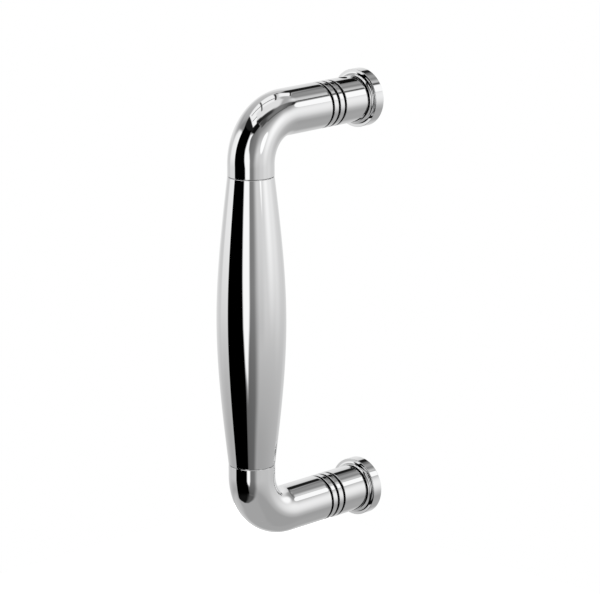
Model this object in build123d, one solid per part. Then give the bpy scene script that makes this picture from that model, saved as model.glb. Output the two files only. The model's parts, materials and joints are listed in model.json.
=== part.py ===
from build123d import *
from math import radians, sin, cos, tan
import os

# Door pull handle: a barrel grip held off the door by two bent arms, with a small rose at each fixing.
# The door face is the plane Y = 0, the handle stands out towards -Y, and +Z is up.
# The origin is on the door face, midway between the two fixings. All sizes are in millimetres.

# Layout
fixing_centres = 152.0  # between the two fixings on the door
projection = 59.7  # from the door to the grip's centre line

# Bent bar of the elbows
bar_diameter = 17.4
bend_radius = 16.8  # of the bar's centre line
elbow_leg = 4.45  # straight stretch between the bend and the grip
arm_edge_radius = 0.3  # round on the arm's edge at the shadow gap

# Turned grooves round the arm
groove_count = 3
groove_width = 1.15
groove_depth = 1.0  # straight walls and a round bottom
groove_edge_radius = 0.15
groove_pitch = 3.27
groove_inset = 12.2  # from the arm's end to the nearest groove

# Grip
grip_middle_diameter = 25.8
grip_flare = 6.9  # degrees between the grip's outline and its axis at a seam
seam_chamfer = 0.25  # on both edges of a seam

# Rose
rose_overhang = 2.25  # how far the flange stands out past the bar
rose_thickness = 4.15  # of the flange
rose_edge_radius = 0.12
rose_back_chamfer = 0.1
cove_radius = 1.3  # hollow sweep from the flange's face up to the collar
collar_length = 0.93  # from the flange's face to the collar's front
collar_edge_radius = 0.1
shadow_gap = 0.92  # dark line between the collar and the arm

# Turned end of the arm, which carries the rose
neck_depth = 1.4  # from the bar's surface to the bottom of the shadow gap
spigot_step = 1.4  # shoulder that the rose's collar bears on
spigot_clearance = 0.1  # on radius, in the rose's bore
spigot_recess = 0.2  # the spigot stops short of the door, so that the rose takes the clamping

# Threads, as plain cylinders
thread_diameter = 8.0  # of the fixings and the joining studs
thread_clearance = 0.1  # on radius
drill_point = 118.0  # degrees
door_hole_depth = 20.0
hole_chamfer = 0.25

# Joining stud
stud_length = 25.0
stud_chamfer = 0.8
stud_end_room = 1.0  # left free at the bottom of each hole
stud_flats = 4.0  # across the hexagon socket
stud_socket = 5.0

# Set screw, which locks the fixing's bolt from the arm's outer side
set_screw_diameter = 3.0
set_screw_length = 3.0
set_screw_inset = 4.7  # from the arm's end
set_screw_chamfer = 0.3
set_screw_flats = 1.5  # across the hexagon socket
set_screw_socket = 1.2

# Worked out from the sizes above
bar_radius = bar_diameter / 2
grip_half = fixing_centres / 2 - bend_radius - elbow_leg
bend_start = projection - bend_radius  # from the door to where the arm begins to bend
shoulder = rose_thickness + collar_length  # from the door to the seat of the rose's collar
arm_end = shoulder + shadow_gap  # from the door to the arm's end
neck_radius = bar_radius - neck_depth
spigot_radius = neck_radius - spigot_step
hole_radius = thread_diameter / 2 + thread_clearance
stud_hole_depth = stud_length / 2 + stud_end_room

standing = (Align.CENTER, Align.CENTER, Align.MIN)  # built upwards from its own base
upper_fixing = Pos(0, 0, fixing_centres / 2) * Rot(X=90)  # turns +Z away from the door and +Y up
set_screw_place = Pos(0, 0, arm_end + set_screw_inset) * Rot(X=-90)  # turns +Z to a standing arm's outer side


def rod(radius, start, end):
    """Round rod on the Z axis between two heights."""
    return Pos(0, 0, start) * Cylinder(radius, end - start, align=standing)


def tapped_hole(depth):
    """Hole up the Z axis from Z = 0, with a chamfered mouth and a drill point."""
    point_height = hole_radius / tan(radians(drill_point / 2))
    hole = rod(hole_radius, 0, depth)
    hole += Pos(0, 0, depth) * Cone(hole_radius, 0, point_height, align=standing)
    hole += Cone(hole_radius + hole_chamfer, hole_radius, hole_chamfer, align=standing)
    return hole


def socket_screw(diameter, start, end, edge, flats, socket_depth):
    """Headless screw on the Z axis, with chamfered ends and a hexagon socket in its upper end."""
    screw = rod(diameter / 2, start, end)
    screw = chamfer(screw.edges().filter_by(GeomType.CIRCLE), edge)
    socket = RegularPolygon(flats / 2, 6, major_radius=False)
    return screw - Pos(0, 0, end - socket_depth) * extrude(socket, socket_depth)


def grip():
    """Barrel turned about the grip's centre line, with a tapped hole in each end."""
    edge = grip_half - seam_chamfer
    flare = radians(grip_flare)
    outline = Spline(
        (bar_radius, 0, -edge),
        (grip_middle_diameter / 2, 0, 0),
        (bar_radius, 0, edge),
        tangents=[(sin(flare), 0, cos(flare)), (-sin(flare), 0, cos(flare))],
    )
    rest = Polyline(
        (bar_radius, 0, edge),
        (bar_radius - seam_chamfer, 0, grip_half),
        (0, 0, grip_half),
        (0, 0, -grip_half),
        (bar_radius - seam_chamfer, 0, -grip_half),
        (bar_radius, 0, -edge),
    )
    barrel = revolve(make_face(outline + rest), axis=Axis.Z)
    for turn in (0, 180):
        barrel -= Rot(Y=turn) * Pos(0, 0, -grip_half) * tapped_hole(stud_hole_depth)
    return Pos(0, -projection, 0) * barrel


def groove():
    """Ring to cut from a bar on the Z axis, with straight walls and a round bottom."""
    half = groove_width / 2
    bottom = bar_radius - groove_depth + half
    ring = rod(bar_radius + half, -half, half) - rod(bottom, -half, half)
    return ring + Torus(bottom, half)


def arm():
    """Straight arm standing on Z = 0 as the door, with its outer side towards +Y."""
    bar = rod(bar_radius, arm_end, bend_start)
    bar = fillet(bar.edges().group_by(Axis.Z)[0], arm_edge_radius)
    for i in range(groove_count):
        height = arm_end + groove_inset + i * groove_pitch
        bar -= Pos(0, 0, height) * groove()
        mouth = bar.edges().filter_by_position(Axis.Z, height - groove_width, height + groove_width)
        bar = fillet(mouth.filter_by(GeomType.CIRCLE).group_by(SortBy.RADIUS)[-1], groove_edge_radius)
    bar += rod(neck_radius, shoulder, arm_end)
    bar += rod(spigot_radius, spigot_recess, shoulder)
    bar -= Pos(0, 0, spigot_recess) * tapped_hole(door_hole_depth)
    return bar - set_screw_place * rod(set_screw_diameter / 2 + thread_clearance, 0, bar_diameter)


def upper_elbow():
    """Bent bar from the grip's upper seam to the door."""
    height = fixing_centres / 2
    leg = rod(bar_radius, grip_half, grip_half + elbow_leg)
    leg = Pos(0, -projection, 0) * chamfer(leg.edges().group_by(Axis.Z)[0], seam_chamfer)
    section = Plane((0, -projection, height - bend_radius)) * Circle(bar_radius)
    bend = revolve(section, Axis((0, -bend_start, height - bend_radius), (-1, 0, 0)), revolution_arc=90)
    elbow = leg + bend + upper_fixing * arm()
    return elbow - Pos(0, -projection, grip_half) * tapped_hole(stud_hole_depth)


def upper_rose():
    """Flange and collar turned as one with a cove between them, and bored for the arm's spigot."""
    rim_radius = bar_radius + rose_overhang
    stub_end = shoulder + cove_radius  # the collar starts long, so that the cove is whole before facing off
    flange = rod(rim_radius, 0, rose_thickness)
    flange = fillet(flange.edges().group_by(Axis.Z)[-1], rose_edge_radius)
    flange = chamfer(flange.edges().group_by(Axis.Z)[0], rose_back_chamfer)
    rose = flange + rod(bar_radius, 0, stub_end)
    face_edges = rose.edges().filter_by_position(Axis.Z, rose_thickness, rose_thickness)
    rose = fillet(face_edges.filter_by(GeomType.CIRCLE).group_by(SortBy.RADIUS)[0], cove_radius)
    rose -= rod(rim_radius, shoulder, stub_end)
    rose = fillet(rose.edges().group_by(Axis.Z)[-1], collar_edge_radius)
    return upper_fixing * (rose - rod(spigot_radius + spigot_clearance, 0, shoulder))


def upper_joining_stud():
    """Threaded stud across the upper seam."""
    half = stud_length / 2
    stud = socket_screw(thread_diameter, -half, half, stud_chamfer, stud_flats, stud_socket)
    return Pos(0, -projection, grip_half) * stud


def upper_set_screw():
    """Set screw in the upper arm, with its point at the wall of the fixing's hole."""
    screw = socket_screw(
        set_screw_diameter,
        hole_radius,
        hole_radius + set_screw_length,
        set_screw_chamfer,
        set_screw_flats,
        set_screw_socket,
    )
    return upper_fixing * set_screw_place * screw


pieces = {"grip": grip()}
for name, piece in (
    ("elbow", upper_elbow()),
    ("rose", upper_rose()),
    ("joining_stud", upper_joining_stud()),
    ("set_screw", upper_set_screw()),
):
    pieces["upper_" + name] = piece
    pieces["lower_" + name] = Rot(Y=180) * piece  # half a turn about the door's normal

os.makedirs("parts", exist_ok=True)
for name, piece in pieces.items():
    export_step(piece, f"parts/{name}.step")
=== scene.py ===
import json
import math
import bpy
import numpy as np
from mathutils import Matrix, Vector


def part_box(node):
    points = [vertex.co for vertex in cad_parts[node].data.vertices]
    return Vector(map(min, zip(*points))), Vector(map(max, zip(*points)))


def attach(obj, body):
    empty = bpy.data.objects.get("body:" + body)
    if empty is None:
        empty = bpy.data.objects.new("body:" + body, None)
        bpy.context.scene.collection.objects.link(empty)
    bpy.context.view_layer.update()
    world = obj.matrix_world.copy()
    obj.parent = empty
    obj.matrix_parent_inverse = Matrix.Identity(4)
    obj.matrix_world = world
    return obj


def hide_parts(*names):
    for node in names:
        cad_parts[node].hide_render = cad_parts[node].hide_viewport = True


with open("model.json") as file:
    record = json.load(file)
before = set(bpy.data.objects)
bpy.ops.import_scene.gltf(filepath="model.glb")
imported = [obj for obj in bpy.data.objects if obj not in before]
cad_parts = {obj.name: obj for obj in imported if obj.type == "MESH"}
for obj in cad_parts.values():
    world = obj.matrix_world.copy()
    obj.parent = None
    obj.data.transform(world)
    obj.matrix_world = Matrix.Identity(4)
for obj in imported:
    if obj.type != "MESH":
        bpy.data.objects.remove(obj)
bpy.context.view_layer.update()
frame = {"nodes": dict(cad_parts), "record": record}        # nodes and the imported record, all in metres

mm = 0.001
tiny = 1e-9  # shorter than any real step between two rows
print("frame loaded:", ", ".join(sorted(frame["nodes"])))

# places that every piece shares, read from the frame
gripLow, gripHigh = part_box("grip")
elbowLow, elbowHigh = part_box("upper_elbow")
roseLow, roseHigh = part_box("upper_rose")
fixings = next(m for m in frame["record"]["mounts"] if m["name"] == "door_fixings")["dims"]
armHeight = fixings["spacing_y_mm"] * mm / 2  # arm's centre line above the middle
holeRadius = fixings["hole_r_mm"] * mm
barRadius = (elbowHigh.x - elbowLow.x) / 2
gripAxis = (gripLow.y + gripHigh.y) / 2  # the grip's centre line stands at this Y
gripHalf = gripHigh.z


# smooth step from 0 to 1: 3 x^2 - 2 x^3
def ease(x):
    x = np.clip(x, 0, 1)
    return x * x * (3 - 2 * x)


plainRows = 8  # rows of corners on a plain stretch of a profile


# straight stretch of a profile: start + (end - start) * t, with t crowded towards both ends by a cosine
def run(start, end, count=plainRows):
    t = 0.5 - 0.5 * np.cos(np.linspace(0, np.pi, count))[:, None]
    return np.array(start) + (np.array(end) - np.array(start)) * t


# round stretch of a profile: centre + radius * (cos, sin) of an evenly stepped angle, in degrees
def bow(centre, radius, start, end, count):
    a = np.radians(np.linspace(start, end, count))
    return np.array(centre) + radius * np.column_stack([np.cos(a), np.sin(a)])


# stretch on the bar's own skin, with a row at each of the given distances
def onBar(along):
    return np.column_stack([along, np.full(len(along), barRadius)])


# joins stretches into one profile of (distance along the axis, radius) rows, each shared end kept once
def join(*stretches):
    rows = np.concatenate(stretches)
    step = np.abs(np.diff(rows, axis=0)).max(axis=1)
    return rows[np.concatenate([[True], step > tiny])]


# straight centre line: start + distance * direction
def lineAt(start, direction, along):
    return np.array(start) + along[:, None] * np.array(direction)


# quads between two lots of rows of corner numbers, closed round the columns
def gridQuads(thisRow, nextRow):
    return np.stack([thisRow, np.roll(thisRow, -1, 1), np.roll(nextRow, -1, 1), nextRow], -1).reshape(-1, 4)


# puts whole arrays of corners and faces into a mesh object, turned so that its faces point outwards
def meshFrom(name, corners, *faces):
    tri = np.concatenate([f[:, [0, i, i + 1]] for f in faces for i in range(1, f.shape[1] - 1)])
    a, b, c = (corners[tri[:, i]] for i in range(3))
    if np.einsum("ij,ij->i", a, np.cross(b, c)).sum() < 0:  # six times the signed volume
        faces = [f[:, ::-1] for f in faces]
    mesh = bpy.data.meshes.new(name)
    loops = np.concatenate([f.ravel() for f in faces])
    counts = np.concatenate([np.full(len(f), f.shape[1]) for f in faces])
    mesh.vertices.add(len(corners))
    mesh.vertices.foreach_set("co", corners.astype(np.float32).ravel())
    mesh.loops.add(len(loops))
    mesh.loops.foreach_set("vertex_index", loops.astype(np.int32))
    mesh.polygons.add(len(counts))
    mesh.polygons.foreach_set("loop_start", (np.cumsum(counts) - counts).astype(np.int32))
    mesh.polygons.foreach_set("use_smooth", np.ones(len(counts), bool))
    mesh.update(calc_edges=True)
    mesh.validate()
    obj = bpy.data.objects.new(name, mesh)
    bpy.context.scene.collection.objects.link(obj)
    return obj


# gives each corner of a mesh its own value, for a material to read
def setValues(obj, attribute, values):
    layer = obj.data.attributes.new(attribute, "FLOAT", "POINT")
    layer.data.foreach_set("value", values.astype(np.float32).ravel())


# profile carried along a path: corner = centre + radius * (cos(turn) * X + sin(turn) * outward).
# Rows follow the profile and columns go round it. A ring closes on itself, anything else ends in two poles.
# the painted shade of each row grows with how deep it lies in a groove or hole, from 0 to 1; carve may change
# the finished grid
def carryProfile(name, centres, outward, radii, recessShade, segments, ring=False, carve=None):
    turn = np.linspace(0, 2 * np.pi, segments, endpoint=False)[None, :, None]
    outward = np.broadcast_to(np.array(outward, float), centres.shape)[:, None, :]
    radii = np.broadcast_to(radii if radii.ndim == 2 else radii[:, None], (len(centres), segments))
    spoke = np.cos(turn) * np.array([1.0, 0.0, 0.0]) + np.sin(turn) * outward
    grid = centres[:, None, :] + radii[:, :, None] * spoke
    depth = np.tile(recessShade[:, None], (1, segments))
    if carve:
        carve(grid, depth)
    if ring:
        index = np.arange(depth.size).reshape(depth.shape)
        corners, depth = grid.reshape(-1, 3), depth.ravel()
        faces = [gridQuads(index, np.roll(index, -1, 0))]
    else:  # the first and last rows are one corner each, numbered after all the others
        index = np.arange(depth[1:-1].size).reshape(-1, segments)
        corners = np.concatenate([grid[1:-1].reshape(-1, 3), grid[[0, -1], 0]])
        depth = np.concatenate([depth[1:-1].ravel(), depth[[0, -1], 0]])
        start, end = np.full(segments, index.size), np.full(segments, index.size + 1)
        faces = [
            gridQuads(index[:-1], index[1:]),
            np.stack([start, np.roll(index[0], -1), index[0]], -1),
            np.stack([end, index[-1], np.roll(index[-1], -1)], -1),
        ]
    piece = meshFrom(name, corners, *faces)
    # stores each corner's painted shade for the material to read
    setValues(piece, "recessShade", depth)
    return piece


# tapped hole: rows from the tip of its cone (radius 0) out to its chamfered mouth at distance 0
tappedHole = {
    "chamfer": 0.25 * mm, "drillPoint": 118, "studDepth": 13.5 * mm,
    "coneRows": 6, "studWallRows": 6, "mouthRows": 4,
}
mouthRadius = holeRadius + tappedHole["chamfer"]


def holeRows(depth, wallRows):
    h = tappedHole
    tip = depth + holeRadius / math.tan(math.radians(h["drillPoint"] / 2))
    return join(
        run((tip, 0), (depth, holeRadius), h["coneRows"]),
        run((depth, holeRadius), (h["chamfer"], holeRadius), wallRows),
        run((h["chamfer"], holeRadius), (0, mouthRadius), h["mouthRows"]),
    )


# seam between grip and elbow: on either side a hole for the stud, a flat face and a chamfer up to the skin
seamChamfer = 0.25 * mm
seamRows = 5
studHole = holeRows(tappedHole["studDepth"], tappedHole["studWallRows"])
seamEnd = join(
    run((0, mouthRadius), (0, barRadius - seamChamfer)),
    run((0, barRadius - seamChamfer), (seamChamfer, barRadius), seamRows),
)

# depths below the bar's skin over which painted shade comes in and the gloss goes dull
shadeAndDullDepth = {"groove": (0.12 * mm, 0.5 * mm), "seam": (0.6 * seamChamfer, seamChamfer)}


# painted shade of rows: a smooth step of their depth below the skin
def recessShadeIn(place, radius):
    start, full = shadeAndDullDepth[place]
    return ease((barRadius - radius - start) / (full - start))


# gives a new piece its finish and lets it stand for its node
def dress(piece, node, material):
    piece.data.materials.append(material)
    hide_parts(node)
    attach(piece, "root")
    print("dressed", node, "with", len(piece.data.polygons), "faces")


def newMaterial(name):
    material = bpy.data.materials.new(name)
    material.use_nodes = True
    nodes, links = material.node_tree.nodes, material.node_tree.links
    return material, nodes, links, nodes["Principled BSDF"]


# polished chrome: a clear mirror whose gloss drifts a little, with the faint waviness that buffing leaves.
# Grooves, holes, the seam and the neck get painted shade, darker with depth, and their gloss goes dull
chromeFinish = {
    "deepTone": (0.858, 0.86, 0.864, 1), "clearTone": (0.878, 0.879, 0.882, 1), "toneScale": 60,
    "glossScale": 140, "glossDetail": 4, "roughLow": 0.004, "roughHigh": 0.014,
    "waveScale": 90, "waveHeight": 0.004 * mm, "waveStrength": 0.05,
    # painted shade: the dark colour that grooves, holes and the seam are mixed towards, and the roughness
    # they get
    "paintedShadeTone": (0.02, 0.02, 0.021, 1), "recessRough": 0.3,
}


def chromeMaterial():
    f = chromeFinish
    material, nodes, links, shader = newMaterial("polishedChrome")
    place = nodes.new("ShaderNodeTexCoord")
    tone = nodes.new("ShaderNodeTexNoise")
    tone.inputs["Scale"].default_value = f["toneScale"]
    toneRamp = nodes.new("ShaderNodeValToRGB")
    toneRamp.color_ramp.elements[0].color = f["deepTone"]
    toneRamp.color_ramp.elements[1].color = f["clearTone"]
    gloss = nodes.new("ShaderNodeTexNoise")
    gloss.inputs["Scale"].default_value = f["glossScale"]
    gloss.inputs["Detail"].default_value = f["glossDetail"]
    glossRange = nodes.new("ShaderNodeMapRange")
    glossRange.inputs["To Min"].default_value = f["roughLow"]
    glossRange.inputs["To Max"].default_value = f["roughHigh"]
    wave = nodes.new("ShaderNodeTexNoise")
    wave.inputs["Scale"].default_value = f["waveScale"]
    bump = nodes.new("ShaderNodeBump")
    bump.inputs["Strength"].default_value = f["waveStrength"]
    bump.inputs["Distance"].default_value = f["waveHeight"]
    # reads each corner's painted shade, from 0 to 1
    recessShade = nodes.new("ShaderNodeAttribute")
    recessShade.attribute_name = "recessShade"
    # mixes the chrome's tone towards the dark colour of the painted shade
    paintShade = nodes.new("ShaderNodeMixRGB")
    paintShade.inputs["Color2"].default_value = f["paintedShadeTone"]
    dull = nodes.new("ShaderNodeMath")  # roughness = painted shade mask * recessRough + gloss
    dull.operation = "MULTIPLY_ADD"
    dull.inputs[1].default_value = f["recessRough"]
    for texture in (tone, gloss, wave):
        links.new(place.outputs["Object"], texture.inputs["Vector"])
    links.new(tone.outputs["Fac"], toneRamp.inputs["Fac"])
    links.new(recessShade.outputs["Fac"], paintShade.inputs["Fac"])
    links.new(toneRamp.outputs["Color"], paintShade.inputs["Color1"])
    links.new(paintShade.outputs["Color"], shader.inputs["Base Color"])
    links.new(gloss.outputs["Fac"], glossRange.inputs["Value"])
    links.new(recessShade.outputs["Fac"], dull.inputs[0])
    links.new(glossRange.outputs["Result"], dull.inputs[2])
    links.new(dull.outputs["Value"], shader.inputs["Roughness"])
    links.new(wave.outputs["Fac"], bump.inputs["Height"])
    links.new(bump.outputs["Normal"], shader.inputs["Normal"])
    shader.inputs["Metallic"].default_value = 1
    return material


# steel of the studs and set screws, with the thread's pitch as rings along the screw: the steel's own tone,
# with painted shade in the thread's roots and painted light on its crests
steelFinish = {
    "joining_stud": {
        "low": (0.33, 0.33, 0.34, 1), "high": (0.5, 0.5, 0.51, 1), "rough": 0.32, "pitch": 1.25 * mm,
    },
    "set_screw": {
        "low": (0.03, 0.03, 0.032, 1), "high": (0.06, 0.06, 0.062, 1), "rough": 0.45, "pitch": 0.5 * mm,
    },
}
waveBand = math.pi / 10  # length of one band of a Wave texture at a scale of 1


def steelMaterial(screw):
    f = steelFinish[screw]
    material, nodes, links, shader = newMaterial(screw + "_steel")
    place = nodes.new("ShaderNodeTexCoord")
    thread = nodes.new("ShaderNodeTexWave")
    thread.bands_direction = "Z"
    thread.inputs["Scale"].default_value = waveBand / f["pitch"]
    # the ramp follows the thread's height: painted shade in the roots, painted light on the crests
    ramp = nodes.new("ShaderNodeValToRGB")
    ramp.color_ramp.elements[0].color = f["low"]
    ramp.color_ramp.elements[1].color = f["high"]
    bump = nodes.new("ShaderNodeBump")
    bump.inputs["Distance"].default_value = f["pitch"] / 2
    links.new(place.outputs["Object"], thread.inputs["Vector"])
    links.new(thread.outputs["Fac"], ramp.inputs["Fac"])
    links.new(thread.outputs["Fac"], bump.inputs["Height"])
    links.new(ramp.outputs["Color"], shader.inputs["Base Color"])
    links.new(bump.outputs["Normal"], shader.inputs["Normal"])
    shader.inputs["Metallic"].default_value = 1
    shader.inputs["Roughness"].default_value = f["rough"]
    return material


# grip: a barrel turned about a line along Z. Radius = bar + swell * (1 - 1.5 t^2 + 0.5 |t|^3), t = -1 to 1,
# so that no curvature is left at the seams; the rows crowd towards the seams, which keeps their edges crisp
gripShape = {"middleRadius": 12.9 * mm, "barrelRows": 180, "segments": 240}


def makeGrip(name, node, material):
    g = gripShape
    t = -np.cos(np.linspace(0, np.pi, g["barrelRows"]))
    swell = (g["middleRadius"] - barRadius) * (1 - 1.5 * t**2 + 0.5 * np.abs(t) ** 3)
    barrel = np.column_stack([(gripHalf - seamChamfer) * t, barRadius + swell])
    end = join(studHole, seamEnd)
    lower, upper = end + (-gripHalf, 0), (end * (-1, 1) + (gripHalf, 0))[::-1]
    along, radius = join(lower, barrel, upper).T
    centres = lineAt((0, gripAxis, 0), (0, 0, 1), along)
    # painted shade down the seam's chamfer, where a gap would lie in shade
    recessShade = recessShadeIn("seam", radius)
    dress(carryProfile(name, centres, (0, 1, 0), radius, recessShade, g["segments"]), node, material)


# elbow: round bar bent through a right angle, with grooves, a neck and a threaded spigot at the door
elbowShape = {
    "bendRadius": 16.8 * mm, "segments": 192,
    "grooveCount": 3, "groovePitch": 3.27 * mm, "grooveWidth": 1.15 * mm, "grooveDepth": 1.0 * mm,
    "grooveLip": 0.15 * mm, "grooveInset": 12.2 * mm,
    "armEnd": 6.0 * mm, "shoulder": 5.08 * mm, "spigotRecess": 0.2 * mm,  # all three from the door
    # the spigot and the door hole get this much painted shade and dullness
    "armEdge": 0.3 * mm, "neckDepth": 1.4 * mm, "spigotStep": 1.4 * mm, "spigotShadeAndDull": 0.25,
    "screwInset": 4.7 * mm, "screwFloor": 4.12 * mm,  # from the arm's end, and from its centre line
    "doorHoleDepth": 20 * mm, "threadPitch": 1.25 * mm, "threadHeight": 0.65 * mm, "threadLength": 14 * mm,
    "threadFlank": 5 / 13,  # share of the pitch that each flank takes
    "rows": {"leg": 14, "bend": 84, "lip": 6, "wall": 3, "bottom": 11, "beforeEdge": 5, "edge": 7,
             "neck": 7, "step": 6, "thread": 110},
}
# the set screw's hole is sunk into a square patch of the skin: each square ring of the patch becomes a circle
# of this radius, this far below the skin; the inner rings are its floor, the outer ones go back to the square
screwRings = {
    "radius": np.array([0, 0.6, 1.2, 1.6, 1.6, 1.6, 1.64, 1.74, 2.05, 2.4, 2.8]) * mm,
    "sink": np.array([0, 0, 0, 0, 1.2, 0.12, 0.03, 0, 0, 0, 0]) * mm,
    # the inner rings, the set screw's hole, take full painted shade
    "floorRings": 3, "paintedShadeRings": 5, "roundRings": 7,
}
ringReach = len(screwRings["radius"]) - 1  # rows or columns from the patch's middle to its border

# marks along the elbow's centre line, measured from the seam
bendStart = armHeight - elbowShape["bendRadius"] - gripHalf
bendEnd = bendStart + elbowShape["bendRadius"] * math.pi / 2
doorAt = bendEnd - gripAxis - elbowShape["bendRadius"]
armEnd, shoulder, spigotTip = (doorAt - elbowShape[key] for key in ("armEnd", "shoulder", "spigotRecess"))
screwAt = armEnd - elbowShape["screwInset"]


# one groove's rows: round lip, straight wall, half-round bottom, and the same back up
def grooveRowsAt(middle):
    e, n = elbowShape, elbowShape["rows"]
    half, lip = e["grooveWidth"] / 2, e["grooveLip"]
    low = barRadius - e["grooveDepth"] + half
    return join(
        bow((middle - half - lip, barRadius - lip), lip, 90, 0, n["lip"]),
        run((middle - half, barRadius - lip), (middle - half, low), n["wall"]),
        bow((middle, low), half, 180, 360, n["bottom"]),
        run((middle + half, low), (middle + half, barRadius - lip), n["wall"]),
        bow((middle + half + lip, barRadius - lip), lip, 180, 90, n["lip"]),
    )


# rows from the seam along leg, bend and arm, over the grooves and down the steps to the spigot's tip
def elbowSkin():
    e, n = elbowShape, elbowShape["rows"]
    skin = [
        seamEnd,
        run((seamChamfer, barRadius), (bendStart, barRadius), n["leg"]),
        onBar(np.linspace(bendStart, bendEnd, n["bend"])),
    ]
    firstGroove = armEnd - e["grooveInset"] - (e["grooveCount"] - 1) * e["groovePitch"]
    for i in range(e["grooveCount"]):
        groove = grooveRowsAt(firstGroove + i * e["groovePitch"])
        skin += [run(skin[-1][-1], groove[0]), groove]
    # rows round the set screw's hole stand as far apart as the columns do
    patch = screwAt + np.arange(-ringReach, ringReach + 1) * 2 * math.pi * barRadius / e["segments"]
    edge = e["armEdge"]
    neck = barRadius - e["neckDepth"]
    spigot = neck - e["spigotStep"]
    skin += [
        run(skin[-1][-1], (patch[0], barRadius)),
        onBar(patch),
        run((patch[-1], barRadius), (armEnd - edge, barRadius), n["beforeEdge"]),
        bow((armEnd - edge, barRadius - edge), edge, 90, 0, n["edge"]),
        run((armEnd, barRadius - edge), (armEnd, neck), n["neck"]),
        run((armEnd, neck), (shoulder, neck), n["neck"]),
        run((shoulder, neck), (shoulder, spigot), n["step"]),
        run((shoulder, spigot), (spigotTip, spigot)),
        run((spigotTip, spigot), (spigotTip, mouthRadius), n["step"]),
    ]
    return join(*skin)


# centre line: up the leg, round a quarter circle, along the arm; turned is the angle gone round the bend.
# The leg's hole runs straight on, so its rows stay on the leg's own line and don't go round the bend
def elbowPath(along, inLegHole, upright):
    bend = elbowShape["bendRadius"]
    turned = np.where(inLegHole, 0, np.clip((along - bendStart) / bend, 0, math.pi / 2))
    beyond = np.where(inLegHole, 0, np.maximum(along - bendEnd, 0))
    rise = np.where(inLegHole, along, np.minimum(along, bendStart)) + bend * np.sin(turned)
    y = gripAxis + bend * (1 - np.cos(turned)) + beyond
    centres = np.column_stack([np.zeros(len(along)), y, upright * (gripHalf + rise)])
    outward = np.column_stack([np.zeros(len(along)), -np.cos(turned), upright * np.sin(turned)])
    return centres, outward


# thread: a ridge that stands in from the hole's wall and climbs one pitch for each turn round it. Across one
# pitch it is two straight flanks and a flat crest, and it fades over the first and the last pitch
def threadRidge(depth, upright):
    e = elbowShape
    pitches = depth[:, None] / e["threadPitch"]
    phase = (pitches - upright * np.linspace(0, 1, e["segments"], endpoint=False)) % 1
    ridge = np.clip((0.5 - np.abs(phase - 0.5)) / e["threadFlank"], 0, 1)
    fade = np.clip(pitches, 0, 1) * np.clip(e["threadLength"] / e["threadPitch"] - pitches, 0, 1)
    return e["threadHeight"] * ridge * fade


# sinks the set screw's hole at one corner of the elbow's grid, straight down towards the arm's middle
def sinkScrewHole(grid, depth, row, column, upright):
    s = screwRings
    window = tuple(slice(at - ringReach, at + ringReach + 1) for at in (row, column))
    step = np.abs(np.arange(-ringReach, ringReach + 1))
    ring = np.maximum(step[:, None], step[None, :])
    middle = grid[row, column, :2].copy()
    flat = grid[window][..., :2] - middle  # the patch seen from straight above its middle
    away = flat / np.maximum(np.linalg.norm(flat, axis=-1, keepdims=True), tiny)
    square = np.clip((ring - s["roundRings"]) / (ringReach - s["roundRings"]), 0, 1)[..., None]
    flat = away * s["radius"][ring][..., None] * (1 - square) + flat * square
    height = np.sqrt(barRadius**2 - flat[..., 0] ** 2) - s["sink"][ring]
    height = np.where(ring <= s["floorRings"], elbowShape["screwFloor"], height)
    grid[window] = np.concatenate([flat + middle, upright * (armHeight + height)[..., None]], -1)
    # painted shade fills the set screw's hole
    depth[window] = np.where(ring <= s["paintedShadeRings"], 1, depth[window])


def makeElbow(name, node, upright, material):
    e = elbowShape
    legHole = studHole[:-1]  # its last row is the skin's first
    doorHole = holeRows(e["doorHoleDepth"], e["rows"]["thread"])[::-1] * (-1, 1) + (spigotTip, 0)
    along, radius = np.concatenate([legHole, join(elbowSkin(), doorHole)]).T
    row = np.arange(len(along))
    inLegHole, inDoorHole = row < len(legHole), row > len(along) - len(doorHole)
    centres, outward = elbowPath(along, inLegHole, upright)
    onThread = inDoorHole & (radius == holeRadius)
    radii = radius[:, None] - np.where(onThread[:, None], threadRidge(spigotTip - along, upright), 0)
    # painted shade in the seam's chamfer, the grooves, the neck and the holes, darker with depth; the spigot
    # and the door hole get a lighter painted shade throughout
    atSeam = inLegHole | (along < seamChamfer)
    recessShade = np.where(atSeam, recessShadeIn("seam", radius), recessShadeIn("groove", radius))
    recessShade = np.where(inDoorHole | (along > shoulder + tiny), e["spigotShadeAndDull"], recessShade)
    screwRow = np.argmin(np.where(radius == barRadius, np.abs(along - screwAt), np.inf))
    screwColumn = e["segments"] // 4  # a quarter turn from X, on the outer side

    def carve(grid, depth):
        sinkScrewHole(grid, depth, screwRow, screwColumn, upright)

    dress(carryProfile(name, centres, outward, radii, recessShade, e["segments"], carve=carve), node, material)


# rose: flange, hollow cove and collar turned about the arm's line, as a closed ring of rows
roseShape = {
    "thickness": 4.15 * mm, "edge": 0.12 * mm, "backChamfer": 0.1 * mm, "cove": 1.3 * mm, "lip": 0.1 * mm,
    "boreRadius": 6.0 * mm, "segments": 240,
    "rows": {"back": 10, "chamfer": 4, "rim": 10, "edge": 6, "cove": 16, "lip": 5},
}


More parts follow.
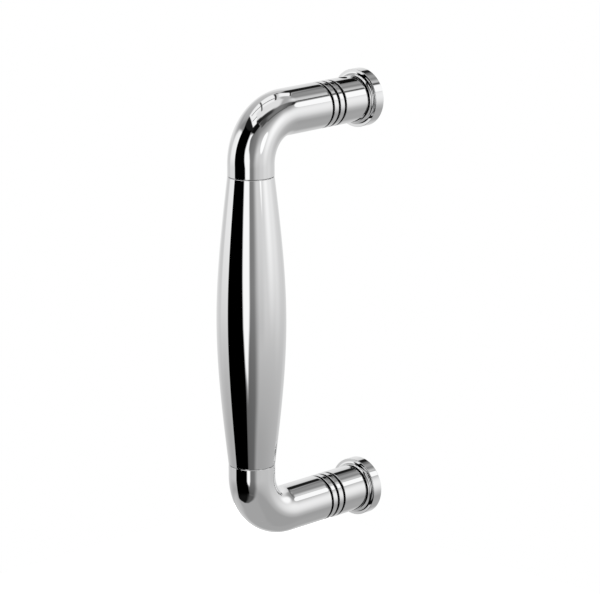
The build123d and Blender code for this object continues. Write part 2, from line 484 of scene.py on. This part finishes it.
def makeRose(name, node, upright, material):
    r, n = roseShape, roseShape["rows"]
    rim = (roseHigh.x - roseLow.x) / 2
    front = roseHigh.y - roseLow.y  # the collar's front, measured from the door
    face, bore, edge, cove = r["thickness"], r["boreRadius"], r["edge"], r["cove"]
    lip, chamfer = r["lip"], r["backChamfer"]
    # the cove is a hollow quarter circle that would end on the bar's skin; the collar's front cuts it short
    turned = math.degrees(math.acos((face + cove - front + lip) / cove))
    hollow = bow((face + cove, barRadius + cove), cove, 180, 180 + turned, n["cove"])
    collar = hollow[-1, 1]
    profile = join(
        run((0, bore), (0, rim - chamfer), n["back"]),
        run((0, rim - chamfer), (chamfer, rim), n["chamfer"]),
        run((chamfer, rim), (face - edge, rim), n["rim"]),
        bow((face - edge, rim - edge), edge, 90, 0, n["edge"]),
        run((face, rim - edge), (face, barRadius + cove)),
        hollow,
        bow((front - lip, collar - lip), lip, 90, 0, n["lip"]),
        run((front, collar - lip), (front, bore)),
        run((front, bore), (0, bore)),
    )[:-1]  # the last row is the first again
    along, radius = profile.T
    centres = lineAt((0, roseHigh.y, upright * armHeight), (0, -1, 0), along)
    # painted shade in the rose's bore and down the collar's front, darker with depth
    recessShade = np.where(along > chamfer, recessShadeIn("groove", radius), 0)
    dress(carryProfile(name, centres, (0, 0, 1), radius, recessShade, r["segments"], ring=True), node, material)


chrome = chromeMaterial()
makeGrip("chrome_grip", "grip", chrome)
for word, upright in (("upper", 1), ("lower", -1)):
    makeElbow(f"{word}_chrome_elbow", f"{word}_elbow", upright, chrome)
    makeRose(f"{word}_chrome_rose", f"{word}_rose", upright, chrome)

for screw in steelFinish:
    steel = steelMaterial(screw)
    for word in ("upper", "lower"):
        materials = frame["nodes"][f"{word}_{screw}"].data.materials
        materials.clear()
        materials.append(steel)
print("studs and set screws given their steel")


# studio: walls, lamps and flags seen only in the chrome, as brightness by direction on a wide dome.
# Azimuth 0 is straight out from the door (-Y) and 90 is +X; elevation is above the horizon; all in degrees
studio = {
    "reach": 4.0, "columns": 900, "rows": 450, "poleAt": 89.7,
    "floorGlow": 0.41, "wallGlow": 0.28, "wallFrom": -6, "wallTo": 38,
    "horizonGlow": 0.34, "horizonAt": 3.0, "belowSpread": 24.0, "aboveSpread": 16.0,
    "belowPower": 3, "abovePower": 2, "overheadFrom": 20, "overheadTo": 28,
}
# a card's outline is rows of (elevation, left azimuth, right azimuth), counted from its facing if it has one;
# its soft edges are left, right, below, above; its glow is one value, one for each corner as bottom left,
# bottom right, top left, top right, or rows of (elevation, left glow, right glow)
wallCards = [
    # left wall, lit most in the corner behind the handle
    {"rows": [(-46, -160, -56), (48, -160, -56)],
     "soft": (34, 40, 12, 16), "glow": (0.64, 0.4, 0.56, 0.24)},
    {"rows": [(-40, -158, -104), (52, -158, -104)],
     "soft": (30, 46, 20, 14), "glow": (0.68, 0.5, 0.58, 0.58)},
    # all walls, lighter under the ceiling
    {"rows": [(52, -180, 180), (90, -180, 180)],
     "soft": (1, 1, 14, 1), "glow": (0.62, 0.62, 0.9, 0.9)},
]
windowCards = [
    # window on the left
    {"rows": [(-10, -76, -40), (0, -72, -40), (18, -72, -40), (27, -65, -40), (34, -50, -40)],
     "soft": (13, 3, 26, 5), "glow": (0.98, 0.93, 0.95, 1.1)},
    # corner behind on the left, dimmer below the horizon
    {"facing": 180, "rows": [(-24, -4, 56), (-6, -4, 56)],
     "soft": (10, 16, 8, 8), "glow": (0.6, 0.74, 0.68, 0.84)},
    {"rows": [(-12, -156, -116), (8, -156, -116)],
     "soft": (16, 20, 8, 8), "glow": (0.86, 0.84, 0.84, 0.78)},
    {"rows": [(10, -165, -126), (31, -165, -126)],
     "soft": (8, 12, 6, 6), "glow": (0.86, 0.86, 0.72, 0.72)},
    # light on the floor at the left, a little shade on it at the right
    {"rows": [(-54, -140, -52), (-32, -140, -52)],
     "soft": (20, 10, 14, 8), "glow": (0.6, 0.5, 0.8, 0.5)},
    {"rows": [(-75, 100, 165), (-44, 66, 155), (-29, 66, 150)],
     "soft": (24, 20, 16, 8), "glow": 0.378},
    # left wall beside the window
    {"rows": [(-12, -102, -76), (4, -102, -76)],
     "soft": (14, 12, 8, 8), "glow": 0.66},
    # right wall beside the grey column, dimmer below the horizon
    {"rows": [(-17, 62, 86), (4, 62, 86)],
     "soft": (10, 16, 8, 8), "glow": (0.54, 0.54, 0.77, 0.77)},
    {"rows": [(8, 60, 124), (34, 60, 124)],
     "soft": (16, 12, 8, 10), "glow": (0.68, 0.98, 0.3, 0.36)},
]
flagCards = [
    # grey column to the right of the white strip, and the grey at its foot
    {"rows": [(-38, 16, 53), (-30, 18, 61), (-26, 20, 64), (-20, 26, 63.5), (-7, 26, 61.5),
              (34, 26, 62), (38, 37, 62), (42, 46, 61), (46, 55, 60)],
     "soft": (5, 22, 6, 4), "glow": [(-38, 0.085, 0.105), (-7, 0.2, 0.25), (46, 0.12, 0.26)]},
    {"rows": [(-52, -4, 8), (-50.5, -16, 17), (-48, -28, 29), (-46, -36, 36),
              (-44, -41, 42), (-42, -45, 46), (-40, -47, 49.5), (-37, -44, 53)],
     "soft": (3, 14, 2, 5), "glow": (0.09, 0.11, 0.09, 0.1)},
    # black curtain, which thins out at the foot
    {"rows": [(-51.5, -14, -10), (-50, -23, -4), (-48, -29, 5), (-46, -36, 11), (-44, -41, 15),
              (-42, -45, 18), (-40, -47, 21), (-36, -44, 24), (-30, -41, 26)],
     "soft": (3, 22, 2, 6), "glow": 0.006},
    {"rows": [(-38, -44, 24), (-34, -42, 26), (-26, -39.5, 25), (-20, -39.5, 21.8), (-14, -39.3, 17.8),
              (-6, -39.8, 14.6), (0, -39.8, 13.4), (8, -39.8, 11.5), (16, -39.8, 10.5), (30, -39.8, 13),
              (38, -39.8, 15), (45, -39.8, 15)],
     "soft": (2, 3, 8, 3), "glow": 0},
    # white strip
    {"rows": [(-24, 28, 32), (-20, 22.8, 33.5), (-14, 18.4, 37.2), (-10, 17.5, 38.2), (0, 13, 37.5),
              (8, 11.5, 34), (16, 11.5, 28), (30, 15, 24.5), (34, 16.5, 27), (38.5, 18, 31)],
     "soft": (7, 7, 5, 4), "glow": 1.08},
    # wall at the back, and the black gap beside it
    {"facing": 180, "rows": [(34, -22, 32), (39, -22, 25), (44.3, -22, 15), (46.8, -22, 8),
                             (49.2, -22, 0.5), (50.5, -22, -4)],
     "soft": (11, 2.5, 4, 2.5), "glow": (0.15, 0.08, 0.4, 0.28)},
    {"facing": 180, "rows": [(39, -6, 8), (45.5, -6, 8)],
     "soft": (7, 9, 6, 5), "glow": 0.38},
    {"facing": 180, "rows": [(31, 30, 35), (36, 24, 36), (41, 20, 35), (47, 24, 33)],
     "soft": (6, 4, 3, 4), "glow": 0.012},
]
# a round lamp is at (azimuth, elevation)
roundLamps = [
    {"at": (140, 7), "radius": 14.5, "soft": 30, "glow": 0.97},
    {"at": (90, 9.4), "radius": 9.4, "soft": 2, "glow": 1.15},
    {"at": (116, 5), "radius": 12, "soft": 22, "glow": 1.08},
    {"at": (167, 11), "radius": 12, "soft": 11, "glow": 1.1},
    {"at": (154, 44), "radius": 5, "soft": 12, "glow": 0.82},
]
# what hangs overhead, as boxes on a plane one unit up: x is +X, y is +Y, and the lit grid is turned against
# the door; soft edges are one value, or left, right, near, far; glow is one value, or near edge to far edge
gridTurn = -25.2
overheadBoxes = [
    # right upper wall, lighter in its middle
    {"middle": (0.86, 0.1), "half": (0.27, 0.62), "soft": (0.2, 0.1, 0.06, 0.1), "glow": (0.06, 0.16)},
    {"middle": (0.86, 0.92), "half": (0.27, 0.22), "soft": (0.2, 0.14, 0.1, 0.14), "glow": (0.14, 0.04)},
    {"middle": (0.93, 1.1), "half": (0.22, 0.08), "turn": 15, "soft": 0.12, "glow": 0.02},
    {"middle": (0.83, 0.22), "half": (0.24, 0.36), "soft": (0.16, 0.16, 0.22, 0.22), "glow": (0.18, 0.21)},
    {"middle": (1.17, 0.38), "half": (0.05, 0.5), "soft": 0.07, "glow": 0.09},
    # grey wall at the back
    {"middle": (0.28, 0.85), "half": (0.36, 0.42), "turn": -8, "soft": 0.14, "glow": (0.42, 0.58)},
    {"middle": (0.1, 1.22), "half": (0.62, 0.06), "soft": 0.1, "glow": 0.16},
    # black flags on the near side
    {"middle": (0.575, -0.8), "half": (0.235, 0.26), "soft": 0.06, "glow": 0.004},
    {"middle": (-0.18, -0.7), "half": (0.58, 0.36), "soft": (0.14, 0.1, 0.1, 0.1), "glow": (0.012, 0.014)},
    {"middle": (0.53, -0.2), "half": (0.15, 0.36), "turn": -18,
     "soft": (0.1, 0.16, 0.06, 0.24), "glow": (0.008, 0.05)},
    # lit panels
    {"middle": (-0.3, -0.07), "half": (0.62, 0.45), "turn": gridTurn, "soft": 0.05, "glow": (1.0, 0.98)},
    {"middle": (0.17, 0), "half": (0.23, 0.45), "turn": gridTurn,
     "soft": (0.1, 0.2, 0.08, 0.2), "glow": 0.84},
    {"middle": (0.1, -0.615), "half": (0.2, 0.115), "turn": gridTurn, "soft": 0.06, "glow": 1.05},
    {"middle": (-0.2, 0.73), "half": (0.2, 0.22), "turn": gridTurn, "soft": 0.1, "glow": (1.0, 1.05)},
    # dark corner at the back
    {"middle": (-0.55, 1.0), "half": (0.13, 0.2), "turn": 14, "soft": 0.12, "glow": 0.004},
    {"middle": (-0.6, 0.66), "half": (0.09, 0.03), "turn": gridTurn, "soft": 0.08, "glow": 0.02},
    # bars of the grid
    {"middle": (-0.38, -0.01), "half": (0.43, 0.025), "turn": gridTurn, "soft": 0.026, "glow": (0.1, 0.13)},
    {"middle": (-0.31, 0.435), "half": (0.35, 0.028), "turn": gridTurn, "soft": 0.03, "glow": 0.02},
    {"middle": (-0.233, 0.935), "half": (0.31, 0.027), "turn": gridTurn, "soft": 0.03, "glow": 0.01},
    {"middle": (-0.34, -0.03), "half": (0.024, 0.4), "turn": gridTurn, "soft": 0.03, "glow": 0.02},
    {"middle": (-0.06, -0.5), "half": (0.02, 0.11), "turn": gridTurn, "soft": 0.03, "glow": 0.04},
    # left wall, where the panels end
    {"middle": (-1.25, 0.12), "half": (0.49, 0.62), "soft": (0.2, 0.2, 0.3, 0.3), "glow": (0.4, 0.6)},
]


# cover of a shape: 1 well inside it and 0 outside, eased over the soft width of each edge in turn
def coverOf(insides, softs):
    cover = 1
    for inside, soft in zip(insides, softs):
        cover = cover * ease(inside / soft + 0.5)
    return cover


# lays a card over the glow so far: glow + (card - glow) * cover, the card's glow blended between its edges
def layCard(glow, card, az, el):
    az = (az - card.get("facing", 0) + 180) % 360 - 180
    level, left, right = np.array(card["rows"], float).T
    left, right = np.interp(el, level, left), np.interp(el, level, right)
    cover = coverOf((az - left, right - az, el - level[0], level[-1] - el), card["soft"])
    across = np.clip((az - left) / np.maximum(right - left, 1), 0, 1)  # at least a degree wide
    shade = np.array(card["glow"], float)
    if shade.ndim < 2:
        shade = np.column_stack([level[[0, -1]], np.broadcast_to(shade, 4).reshape(2, 2)])
    leftGlow, rightGlow = (np.interp(el, shade[:, 0], shade[:, i]) for i in (1, 2))
    return glow + (leftGlow + (rightGlow - leftGlow) * across - glow) * cover


# lays a turned box of the overhead plane in the same way
def layBox(glow, box, x, y, overhead):
    t = math.radians(box.get("turn", 0))
    x, y = x - box["middle"][0], y - box["middle"][1]
    x, y = x * math.cos(t) + y * math.sin(t), y * math.cos(t) - x * math.sin(t)
    halfX, halfY = box["half"]
    insides = (halfX + x, halfX - x, halfY + y, halfY - y)
    cover = overhead * coverOf(insides, np.broadcast_to(box["soft"], 4))
    near, far = np.broadcast_to(box["glow"], 2)
    return glow + (near + (far - near) * np.clip(y / halfY / 2 + 0.5, 0, 1) - glow) * cover


# lays a round lamp in the same way, by the angle from its middle
def layLamp(glow, lamp, az, el):
    a, e, e0 = np.radians(az - lamp["at"][0]), np.radians(el), math.radians(lamp["at"][1])
    apart = np.sin(e) * math.sin(e0) + np.cos(e) * math.cos(e0) * np.cos(a)
    apart = np.degrees(np.arccos(np.clip(apart, -1, 1)))
    return glow + (lamp["glow"] - glow) * ease((lamp["radius"] - apart) / lamp["soft"] + 0.5)


# brightness of the studio for whole arrays of azimuth and elevation: floor eased into walls, a band of light
# along the horizon that falls off as exp(-|x|^power), and the cards, boxes and lamps laid over them in order
def studioGlow(az, el):
    s = studio
    wall = ease((el - s["wallFrom"]) / (s["wallTo"] - s["wallFrom"]))
    glow = s["floorGlow"] + (s["wallGlow"] - s["floorGlow"]) * wall
    for card in wallCards:
        glow = layCard(glow, card, az, el)
    below = el < s["horizonAt"]
    off = np.abs(el - s["horizonAt"]) / np.where(below, s["belowSpread"], s["aboveSpread"])
    glow = glow + s["horizonGlow"] * np.exp(-off ** np.where(below, s["belowPower"], s["abovePower"]))
    for card in windowCards:
        glow = layCard(glow, card, az, el)
    overhead = ease((el - s["overheadFrom"]) / (s["overheadTo"] - s["overheadFrom"]))
    reach = 1 / np.tan(np.radians(np.maximum(el, s["overheadFrom"])))
    x, y = reach * np.sin(np.radians(az)), -reach * np.cos(np.radians(az))
    for box in overheadBoxes:
        glow = layBox(glow, box, x, y, overhead)
    for card in flagCards:
        glow = layCard(glow, card, az, el)
    for lamp in roundLamps:
        glow = layLamp(glow, lamp, az, el)
    return glow


# dome: corner = reach * (cos el sin az, -cos el cos az, sin el) on an even grid of azimuth and elevation
def makeDome():
    s = studio
    az = np.linspace(-180, 180, s["columns"], endpoint=False)
    el = np.linspace(-s["poleAt"], s["poleAt"], s["rows"])
    az, el = np.meshgrid(az, el)
    a, e = np.radians(az), np.radians(el)
    corners = s["reach"] * np.stack([np.cos(e) * np.sin(a), -np.cos(e) * np.cos(a), np.sin(e)], -1)
    index = np.arange(az.size).reshape(az.shape)
    dome = meshFrom("studioWalls", corners.reshape(-1, 3), gridQuads(index[:-1], index[1:]))
    setValues(dome, "glow", studioGlow(az, el))
    return dome


# softbox: a round lamp that stands near enough for the two arms to see it at different heights.
# Corner = middle + radius * ring * (cos(turn) * side + sin(turn) * up), facing the handle; its rim fades
softbox = {
    "at": (0.349, 0.443, 0.323), "radius": 0.107, "soft": 0.1, "glow": 1.1, "rim": 0.5,
    "rings": 30, "segments": 72,
}


def makeSoftbox():
    s = softbox
    at = np.array(s["at"])
    back = at / np.linalg.norm(at)
    side = np.cross(back, (0, 0, 1)) / np.linalg.norm(np.cross(back, (0, 0, 1)))
    up = np.cross(side, back)
    ring = np.linspace(0, 1, s["rings"])
    turn = np.linspace(0, 2 * np.pi, s["segments"], endpoint=False)
    spoke = np.cos(turn)[:, None] * side + np.sin(turn)[:, None] * up
    corners = at + s["radius"] * ring[:, None, None] * spoke
    index = np.arange(len(ring) * len(turn)).reshape(len(ring), len(turn))
    lamp = meshFrom("nearSoftbox", corners.reshape(-1, 3), gridQuads(index[:-1], index[1:]))
    glow = s["rim"] + (s["glow"] - s["rim"]) * ease((1 - ring) / s["soft"])
    setValues(lamp, "glow", np.repeat(glow, len(turn)))
    return lamp


# flat panel: corner = middle + u * along + v * across, with u and v at -1 and 1
def makePanel(name, middle, along, across):
    u, v = np.array([[-1, -1], [1, -1], [1, 1], [-1, 1]]).T[:, :, None]
    corners = np.array(middle) + u * np.array(along) + v * np.array(across)
    return meshFrom(name, corners, np.array([[0, 1, 2, 3]]))


# thin flags: dark strips along Y above the upper arm and square to the line from it, seen in it as one fine
# line and as a dark edge by the rose
thinFlags = {
    "lineFlag": {"at": (0.127, 0.188, 0.253), "halfLength": 0.033, "halfWidth": 0.008, "glow": 0.06},
    "edgeFlag": {"at": (-0.0385, 0.0951, 0.1775), "halfLength": 0.0055, "halfWidth": 0.018, "glow": 0.004},
}


def makeThinFlag(name):
    f = thinFlags[name]
    away = np.array(f["at"]) * (1, 0, 1) - (0, 0, armHeight)
    across = np.cross(away / np.linalg.norm(away), (0, 1, 0))
    flag = makePanel(name, f["at"], (0, f["halfLength"], 0), f["halfWidth"] * across)
    setValues(flag, "glow", np.full(len(flag.data.vertices), f["glow"]))
    return flag


# the studio's pieces give off light by their own glow
def glowMaterial():
    material, nodes, links, shader = newMaterial("studioGlow")
    nodes.remove(shader)
    light = nodes.new("ShaderNodeEmission")
    level = nodes.new("ShaderNodeAttribute")
    level.attribute_name = "glow"
    links.new(level.outputs["Fac"], light.inputs["Strength"])
    links.new(light.outputs["Emission"], nodes["Material Output"].inputs["Surface"])
    material.cycles.emission_sampling = "NONE"  # found by reflection alone, which leaves no noise
    return material


def makeStudio():
    material = glowMaterial()
    for piece in [makeDome(), makeSoftbox()] + [makeThinFlag(name) for name in thinFlags]:
        piece.data.materials.append(material)
        piece.visible_camera = False
        piece.visible_shadow = False
    print("studio hung with", len(wallCards + windowCards + flagCards), "cards")


# floor: pale and plain, well below the handle; to the camera it is as white as the background
floorShape = {"drop": 1.4, "half": 3.0, "tone": (0.8, 0.8, 0.8, 1), "rough": 0.9}
white = (1, 1, 1, 1)


def makeFloor():
    f = floorShape
    floor = makePanel("paleFloor", (0, 0, -f["drop"]), (f["half"], 0, 0), (0, f["half"], 0))
    material, nodes, links, shader = newMaterial("paleFloor")
    shader.inputs["Base Color"].default_value = f["tone"]
    shader.inputs["Roughness"].default_value = f["rough"]
    shader.inputs["Specular IOR Level"].default_value = 0
    shader.inputs["Emission Color"].default_value = white
    ray = nodes.new("ShaderNodeLightPath")
    mirrored = nodes.new("ShaderNodeMath")  # a Math node adds, unless it is told otherwise
    seen = nodes.new("ShaderNodeMath")
    links.new(ray.outputs["Is Glossy Ray"], mirrored.inputs[0])
    links.new(ray.outputs["Is Transmission Ray"], mirrored.inputs[1])
    links.new(ray.outputs["Is Camera Ray"], seen.inputs[0])
    links.new(mirrored.outputs["Value"], seen.inputs[1])
    links.new(seen.outputs["Value"], shader.inputs["Emission Strength"])
    floor.data.materials.append(material)
    floor.visible_glossy = False


# one wide soft lamp overhead for the floor; the chrome takes its light from the studio's own walls
lampShape = {"height": 2.2, "size": 2.4, "power": 55}


def makeLamp():
    lamp = bpy.data.lights.new("overheadSoftbox", "AREA")
    lamp.size = lampShape["size"]
    lamp.energy = lampShape["power"]
    obj = bpy.data.objects.new("overheadSoftbox", lamp)
    obj.location = (0, 0, lampShape["height"])
    obj.visible_glossy = False
    bpy.context.scene.collection.objects.link(obj)


def makeWorld():
    world = bpy.data.worlds.new("whiteRoom")
    world.use_nodes = True
    background = world.node_tree.nodes["Background"]
    background.inputs["Color"].default_value = white
    background.inputs["Strength"].default_value = 1
    bpy.context.scene.world = world


# camera at the photograph's angle: it looks at a point midway between door and grip, moved a little across
# and above, and stands back from it
cameraPlace = {
    "azimuth": 43.72, "elevation": 14.01, "distance": 1.288, "across": -2.73 * mm, "above": 2.565 * mm,
    "lens": 206.28, "sensor": 36, "clipStart": 0.05, "clipEnd": 20,
}


def makeCamera():
    c = cameraPlace
    a, e = math.radians(c["azimuth"]), math.radians(c["elevation"])
    back = np.array([math.sin(a) * math.cos(e), -math.cos(a) * math.cos(e), math.sin(e)])
    right = np.array([math.cos(a), math.sin(a), 0])
    up = np.cross(back, right)
    data = bpy.data.cameras.new("photoCamera")
    data.lens, data.sensor_width = c["lens"], c["sensor"]
    data.clip_start, data.clip_end = c["clipStart"], c["clipEnd"]
    camera = bpy.data.objects.new("photoCamera", data)
    target = np.array([0, gripAxis / 2, 0]) + c["across"] * right + c["above"] * up
    camera.location = target + c["distance"] * back
    camera.rotation_euler = (math.pi / 2 - e, 0, a)
    bpy.context.scene.collection.objects.link(camera)
    bpy.context.scene.camera = camera


makeStudio()
makeFloor()
makeLamp()
makeWorld()
makeCamera()
bpy.context.scene.view_settings.view_transform = "Standard"
print("floor, lamp and camera set")
